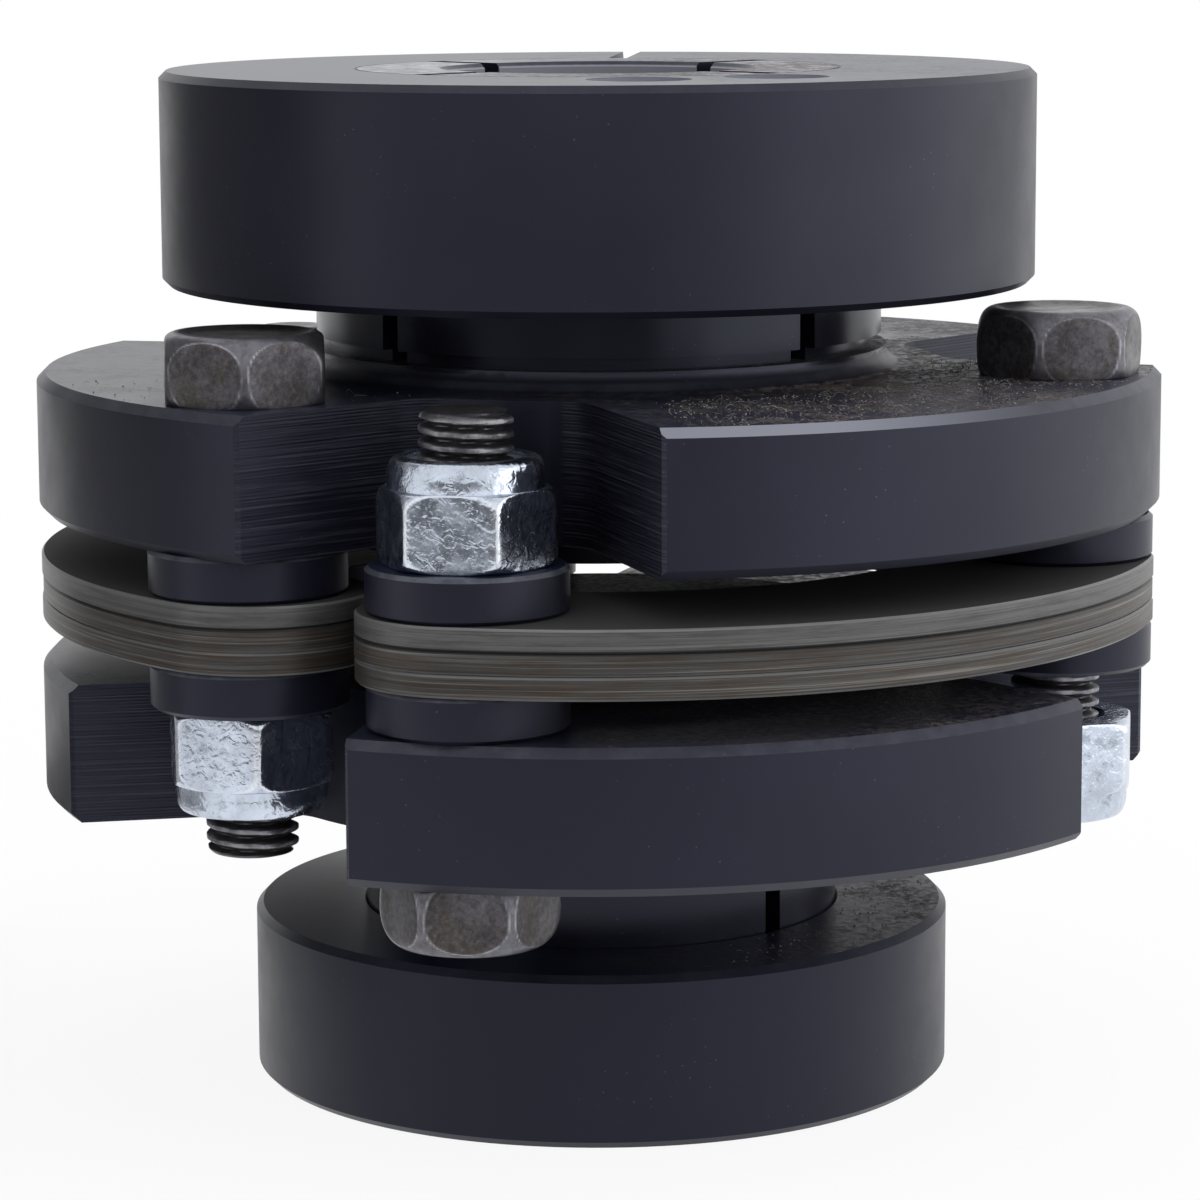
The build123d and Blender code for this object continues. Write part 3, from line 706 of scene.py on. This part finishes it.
def zinc_plate(name, colours):
    """Bright blue-white zinc with hammered dents on the flats, and edges of wear and painted
    highlight.
    """
    f = Finish(name)
    dull_zinc, rubbed_zinc_and_highlight = (0.22, 0.24, 0.30), (0.88, 0.90, 0.94)
    cloud = f.noise(240, 5, 0.7, warp=0.4)
    base = f.blend(f.band(cloud, 0.30, 0.70), shade(colours.zinc, 0.78),
                   shade(colours.zinc, 1.10))
    barrel, edge = f.mark("barrel"), f.mark("edge")
    grey = f.times(f.band(f.noise(520, 4, 0.75, shift=6.0), 0.54, 0.66), 0.5)
    base = f.blend(grey, base, dull_zinc)
    # painted highlight, with wear, along the edges between flats and barrel
    base = f.blend(f.times(edge, 0.8), base, rubbed_zinc_and_highlight)
    rough = f.level(f.band(f.noise(420, 4, 0.7, shift=3.0), 0.3, 0.7), 0.15, 0.30)
    dents = f.band(f.noise(900, 2, 0.5, shift=2.0, warp=0.6), 0.35, 0.65)
    fine = f.spots(1900, 0.30, shift=5.0)
    height = f.math("SUBTRACT", f.times(dents, 0.9), f.times(fine, 0.25))
    calm = f.band(barrel, 0.0, 1.0, 1.0, 0.35)
    normal = f.bump(f.times(height, calm), 0.035 * MM)
    return f.finish(base, rough, normal, metallic=1.0)


def leaf_steel(name, colours):
    """Rolled spring steel: the edge shows level lines of its thin layers, grey above and brown
    below, with bright hairlines, a painted highlight on the chamfers and a painted shadow at the
    joint; the flat faces are dull and dark."""
    f = Finish(name)
    hairline, dark_layer, dark_hairline, edge_steel_and_highlight, joint_shadow, flat_face = (
        (0.30, 0.29, 0.26), (0.017, 0.013, 0.011), (0.020, 0.016, 0.014), (0.34, 0.34, 0.35),
        (0.012, 0.010, 0.010), (0.046, 0.043, 0.045))
    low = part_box("link_a_leaf_1")[0][2]
    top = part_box("link_a_leaf_3")[1][2]
    third = (top - low) / 3
    lines = f.noise(1.0, 3, 0.8, stretch=(15, 15, 3300))
    fine = f.noise(1.0, 3, 0.8, stretch=(26, 26, 7000), shift=6.0)
    stain = f.noise(1.0, 5, 0.75, stretch=(110, 110, 1300), shift=1.0)
    browns = f.band(stain, 0.36, 0.62)
    lower = f.blend(browns, colours.tarnish, shade(colours.leaf, 0.60))
    upper = f.blend(f.band(stain, 0.32, 0.54), shade(colours.leaf, 0.66),
                    shade(colours.leaf, 1.05))
    base = f.blend(f.band(f.z, low + 1.97 * third, low + 2.03 * third), lower, upper)
    below = f.band(f.z, low + 2.0 * third, low + 1.95 * third, 0.45, 1.0)
    base = f.blend(f.times(f.band(lines, 0.54, 0.66), below, 0.42), base, hairline)
    base = f.blend(f.times(f.band(lines, 0.48, 0.38), below, 0.80), base, dark_layer)
    base = f.blend(f.times(f.band(fine, 0.50, 0.40), below, 0.55), base, dark_hairline)
    steep = f.math("ABSOLUTE", f.nz)
    slanted = f.times(f.band(steep, 0.35, 0.6), f.band(steep, 0.95, 0.85))
    joint = f.math("ABSOLUTE", f.math("SUBTRACT", f.z, low + 2 * third))
    near = f.band(joint, 0.5 * MM, 0.35 * MM)
    # painted highlight on the leaves' chamfered edges
    base = f.blend(f.times(slanted, 0.30), base, edge_steel_and_highlight)
    # painted shadow in the joint between the upper and middle packs
    base = f.blend(f.times(slanted, near, 0.85), base, joint_shadow)
    level = f.band(steep, 0.92, 0.98)
    base = f.blend(f.times(level, 0.88), base, flat_face)
    rough = f.level(level, 0.40, 0.75)
    side = f.math("SUBTRACT", 1.0, level)
    normal = f.bump(f.times(f.math("ADD", lines, f.times(fine, 0.5)), side), 0.045 * MM)
    normal = f.bump(f.noise(800, 3, 0.6), 0.010 * MM, normal)
    return f.finish(base, rough, normal, metallic=0.35)


def plain_nylon(name, colours):
    """Dull moulded ring, dark with handling."""
    f = Finish(name)
    base = f.blend(f.band(f.noise(500, 3), 0.3, 0.7), colours.nylon, shade(colours.nylon, 1.5))
    return f.finish(base, 0.55, f.bump(f.noise(1200, 2), 0.02 * MM))


def dry_lint(name, colours):
    """Dry pale fibres and brown crumbs."""
    f = Finish(name)
    brown = (0.085, 0.066, 0.052)
    tone = f.band(f.noise(330, 3, 0.6), 0.35, 0.62)
    base = f.blend(tone, brown, shade(colours.lint, 0.62))
    return f.finish(base, 0.9, f.bump(f.noise(4000, 2), 0.01 * MM))


def dress(names, material):
    """Gives CAD nodes a finish."""
    for name in names:
        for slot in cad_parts[name].material_slots:
            slot.material = material


# ---- operators ------------------------------------------------------------------------------
class COUPLING_OT_bolts(bpy.types.Operator):
    """Make the six hexagon bolts with their threads"""

    bl_idname = "coupling.bolts"
    bl_label = "Bolts"

    def execute(self, context):
        sizes = context.scene.coupling_fasteners
        material = bolt_steel("bolt_finish", context.scene.coupling_colours)
        for hub, facing, turns in (("upper", 1, UPPER_HEADS), ("lower", -1, LOWER_HEADS)):
            for letter, turn in zip(LETTERS, turns):
                node = f"{hub}_bolt_{letter}"
                points, marks = bolt_surface(node, facing, turn, sizes)
                put(f"threaded_{node}", sheet_mesh(node, points), material, node,
                    marks)
        return {"FINISHED"}


class COUPLING_OT_nuts(bpy.types.Operator):
    """Make the six self-locking nuts"""

    bl_idname = "coupling.nuts"
    bl_label = "Locking nuts"

    def execute(self, context):
        sizes = context.scene.coupling_fasteners
        colours = context.scene.coupling_colours
        material = zinc_plate("zinc_finish", colours)
        for hub, facing, turns in (("upper", -1, UPPER_NUTS), ("lower", 1, LOWER_NUTS)):
            for letter, turn in zip(LETTERS, turns):
                node = f"{hub}_nut_{letter}"
                points, marks = nut_surface(node, facing, turn, sizes)
                put(f"rolled_{node}", sheet_mesh(node, points), material, node,
                    marks)
        rings = [f"{hub}_nut_insert_{letter}" for hub in HUBS for letter in LETTERS]
        dress(rings, plain_nylon("nylon_finish", colours))
        return {"FINISHED"}


class COUPLING_OT_hubs(bpy.types.Operator):
    """Finish the hubs, collars, spacers and clamp screws"""

    bl_idname = "coupling.hubs"
    bl_label = "Hubs and collars"

    def execute(self, context):
        colours = context.scene.coupling_colours
        dress(["upper_hub", "lower_hub"],
              blackened_steel("hub_finish", colours, dusty=0.85, ends=0.5, milled=True))
        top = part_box("upper_clamp_collar")[1][2]
        dress(["upper_clamp_collar"], blackened_steel("upper_collar_finish", colours, dusty=0.10,
                                                      rims=0.05, drilled=top))
        dress(["lower_clamp_collar"], blackened_steel("lower_collar_finish", colours, dusty=0.30,
                                                      rims=0.05, gloss=0.31))
        spacers = [f"{hub}_bolt_{letter}_{end}_spacer" for hub in HUBS for letter in LETTERS
                   for end in ("top", "bottom")]
        dress(spacers, blackened_steel("spacer_finish", colours, rims=0.40))
        dress(["upper_clamp_screw", "lower_clamp_screw"], bolt_steel("screw_finish", colours))
        return {"FINISHED"}


class COUPLING_OT_lint(bpy.types.Operator):
    """Scatter the lint and crumbs that lie on the upper flange and the lower collar"""

    bl_idname = "coupling.lint"
    bl_label = "Lint"

    def execute(self, context):
        sizes = context.scene.coupling_fasteners
        rng = np.random.default_rng(11)
        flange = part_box("upper_bolt_a")[1][2] - sizes.head_height
        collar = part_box("lower_clamp_collar")[1][2]
        fibres, crumbs, low_fibres, low_crumbs = (
            np.concatenate([lint_places(rng, *row) for row in rows])
            for rows in (FLANGE_FIBRES, FLANGE_CRUMBS, COLLAR_FIBRES, COLLAR_CRUMBS))
        fibres, crumbs = fibres[on_lobe(fibres, sizes)], crumbs[on_lobe(crumbs, sizes)]
        clouds = (fibre_points(fibres, flange, rng, FLANGE_FIBRE),
                  crumb_points(crumbs, flange, rng),
                  fibre_points(low_fibres, collar, rng, COLLAR_FIBRE),
                  crumb_points(low_crumbs, collar, rng))
        points, quads, first = [], [], 0
        for cloud in clouds:
            points.append(cloud.reshape(-1, 3))
            quads.append(tube_quads(*cloud.shape[:3], first))
            first += cloud.size // 3
        mesh = quad_mesh("lint", np.concatenate(points), np.concatenate(quads))
        weld(mesh)
        mesh.materials.append(dry_lint("lint_finish", context.scene.coupling_colours))
        piece = bpy.data.objects.new("lint", mesh)
        context.scene.collection.objects.link(piece)
        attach(piece, "root")
        return {"FINISHED"}


class COUPLING_OT_links(bpy.types.Operator):
    """Finish the laminated links"""

    bl_idname = "coupling.links"
    bl_label = "Links"

    def execute(self, context):
        leaves = [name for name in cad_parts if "leaf" in name]
        dress(leaves, leaf_steel("leaf_finish", context.scene.coupling_colours))
        return {"FINISHED"}


def sky_material(studio):
    """World: a white tent that lights the coupling a little more from above and the right."""
    world = bpy.data.worlds.new("studio")
    bpy.context.scene.world = world
    n = Nodes(world)
    way = n.add("TexCoord").outputs["Generated"]
    x, _, z = n.add("SeparateXYZ", {0: way}).outputs
    strength = n.times(n.band(x, -0.6, 0.6, 0.80, 1.0),
                       n.band(z, -0.6, 0.6, 0.75, studio.tent_light))
    tent = n.add("Background", {0: (1, 1, 1, 1), 1: strength})
    white = n.add("Background", {0: (1, 1, 1, 1)})
    mix = n.add("MixShader", {0: n.white_rays(), 1: tent.outputs[0], 2: white.outputs[0]})
    n.add("OutputWorld", {0: mix.outputs[0]})


def floor_material():
    """White table that keeps a faint shadow of the coupling."""
    material = bpy.data.materials.new("studio_floor")
    n = Nodes(material)
    paper = n.add("BsdfDiffuse", {0: (0.86, 0.86, 0.86, 1)})
    glow = n.add("Emission")
    share = n.times(n.white_rays(), 0.90)
    mix = n.add("MixShader", {0: share, 1: paper.outputs[0], 2: glow.outputs[0]})
    n.add("OutputMaterial", {0: mix.outputs[0]})
    return material


def card_material(name, low, high):
    """Matt card that gives the steel something darker than the white tent to reflect: grey low
    in its lower part and grey high above."""
    f = Finish(name)
    fade = 8 * MM
    grey = f.add("MapRange", {0: f.z, 1: CARD_CHANGE - fade, 2: CARD_CHANGE + fade,
                              3: low, 4: high})
    paper = f.add("BsdfDiffuse", {0: grey.outputs[0]})
    f.add("OutputMaterial", {0: paper.outputs[0]})
    return f.material


def upright_card(name, angles, distances, heights, low, high):
    """Card that stands on the floor along a curve round the coupling, out of the camera's
    sight: point (distance cos angle, distance sin angle, height), with the angles of every
    column and height."""
    angles = np.radians(angles)
    points = np.stack([distances * np.cos(angles), distances * np.sin(angles),
                       np.broadcast_to(heights, angles.shape)], axis=-1)
    mesh = sheet_mesh(name, points, close_u=False)
    mesh.materials.append(card_material(name, low, high))
    card = bpy.data.objects.new(name, mesh)
    bpy.context.scene.collection.objects.link(card)
    card.visible_camera = False


def soft_box(name, place, target, width, height, power):
    """Area lamp at a place, turned towards a target."""
    lamp = bpy.data.lights.new(name, "AREA")
    lamp.shape = "RECTANGLE"
    lamp.size, lamp.size_y, lamp.energy = width, height, power
    holder = bpy.data.objects.new(name, lamp)
    bpy.context.scene.collection.objects.link(holder)
    holder.location = place
    holder.rotation_euler = (Vector(target) - Vector(place)).to_track_quat("-Z", "Y").to_euler()


class COUPLING_OT_stage(bpy.types.Operator):
    """Set the floor, the light and the camera"""

    bl_idname = "coupling.stage"
    bl_label = "Studio"

    def execute(self, context):
        studio = context.scene.coupling_studio
        turn = np.linspace(0, 2 * math.pi, 64, endpoint=False)
        rim = studio.floor_radius * np.stack([np.cos(turn), np.sin(turn), 0 * turn], axis=-1)
        disc = np.stack([rim * 0.0, rim * 0.5, rim], axis=1)
        floor_gap = 0.05 * MM
        mesh = sheet_mesh("floor", disc - np.array([0, 0, floor_gap]))
        weld(mesh)
        mesh.materials.append(floor_material())
        floor = bpy.data.objects.new("floor", mesh)
        context.scene.collection.objects.link(floor)
        sky_material(studio)
        along = np.linspace(0, 1, 40)[:, None]
        upright_card("left_card", CARD_STARTS + (CARD_END - CARD_STARTS) * along,
                     studio.card_distance, CARD_HEIGHTS, studio.card_grey * studio.card_low,
                     studio.card_grey)
        ahead = np.linspace(*FRONT_CARD, 33)[:, None] + np.zeros(2)
        upright_card("front_card", ahead, FRONT_CARD_PLACE / np.sin(np.radians(ahead)),
                     np.array([0, FRONT_CARD_HEIGHT]), studio.front_grey, studio.front_grey)
        soft_box("right_soft_box", place=(0.5, -0.10, 0.20), target=(0, 0, 0.08), width=0.8,
                 height=0.4, power=studio.right_power)
        camera = bpy.data.cameras.new("camera")
        camera.lens, camera.sensor_width = studio.lens, 36
        camera.clip_start = 0.01
        holder = bpy.data.objects.new("camera", camera)
        context.scene.collection.objects.link(holder)
        holder.matrix_world = (Matrix.Translation((0, -studio.distance, studio.height))
                               @ Matrix.Rotation(math.pi / 2 - studio.pitch, 4, "X")
                               @ Matrix.Rotation(studio.roll, 4, "Z"))
        context.scene.camera = holder
        context.scene.view_settings.view_transform = "Standard"
        return {"FINISHED"}


class COUPLING_PT_panel(bpy.types.Panel):
    """Sidebar panel that lists the coupling's operators and settings"""

    bl_idname = "COUPLING_PT_panel"
    bl_label = "Disc Coupling"
    bl_space_type = "VIEW_3D"
    bl_region_type = "UI"
    bl_category = "Coupling"

    def draw(self, context):
        column = self.layout.column()
        for operator in OPERATORS:
            column.operator(operator.bl_idname)
        for group in ("coupling_fasteners", "coupling_colours", "coupling_studio"):
            settings = getattr(context.scene, group)
            box = self.layout.box()
            for name in settings.__annotations__:
                box.prop(settings, name)


OPERATORS = (COUPLING_OT_hubs, COUPLING_OT_links, COUPLING_OT_bolts, COUPLING_OT_nuts,
             COUPLING_OT_lint, COUPLING_OT_stage)
CLASSES = (CouplingFasteners, CouplingColours, CouplingStudio, *OPERATORS, COUPLING_PT_panel)


def register():
    for cls in CLASSES:
        bpy.utils.register_class(cls)
    bpy.types.Scene.coupling_fasteners = PointerProperty(type=CouplingFasteners)
    bpy.types.Scene.coupling_colours = PointerProperty(type=CouplingColours)
    bpy.types.Scene.coupling_studio = PointerProperty(type=CouplingStudio)


def unregister():
    del bpy.types.Scene.coupling_studio
    del bpy.types.Scene.coupling_colours
    del bpy.types.Scene.coupling_fasteners
    for cls in reversed(CLASSES):
        bpy.utils.unregister_class(cls)


def main():
    register()
    for operator in OPERATORS:
        group, name = operator.bl_idname.split(".")
        getattr(getattr(bpy.ops, group), name)()


if __name__ == "__main__":
    main()
